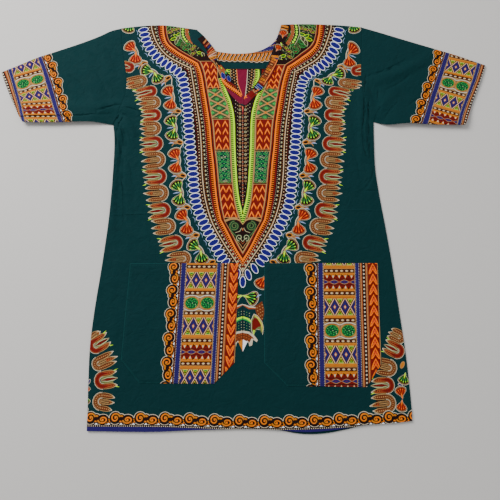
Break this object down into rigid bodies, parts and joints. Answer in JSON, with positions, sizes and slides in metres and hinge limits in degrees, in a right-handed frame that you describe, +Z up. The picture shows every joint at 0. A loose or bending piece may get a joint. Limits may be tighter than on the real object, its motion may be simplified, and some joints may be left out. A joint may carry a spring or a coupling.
{
  "type": "dashiki shirt",
  "caption": "Loose cotton dashiki shirt laid flat, with a V neck, short wide sleeves, patch pockets and a traditional all-over print.",
  "frame": {"origin": "on the surface that the shirt lies on, under the middle of its outline", "axes": "+X from one cuff to the other, to the right as one looks down at the front; +Y from hem to neck; +Z up out of the front"},
  "size_m": [1.031, 0.8474, 0.0111],
  "materials": {
    "printed_cotton": "matt plain-weave cotton, dark green with a printed pattern",
    "neck_band_cotton": "the same cloth cut through the orange bands of its print",
    "facing_cotton": "the same cloth cut through the gold band of its print"
  },
  "bodies": {
    "root": {"front_panel": "printed_cotton", "back_panel": "printed_cotton", "sleeve_left": "printed_cotton", "sleeve_right": "printed_cotton", "pocket_left": "printed_cotton", "pocket_right": "printed_cotton", "neck_band_left": "neck_band_cotton", "neck_band_right": "neck_band_cotton", "back_neck_facing": "facing_cotton"}
  },
  "joints": []
}
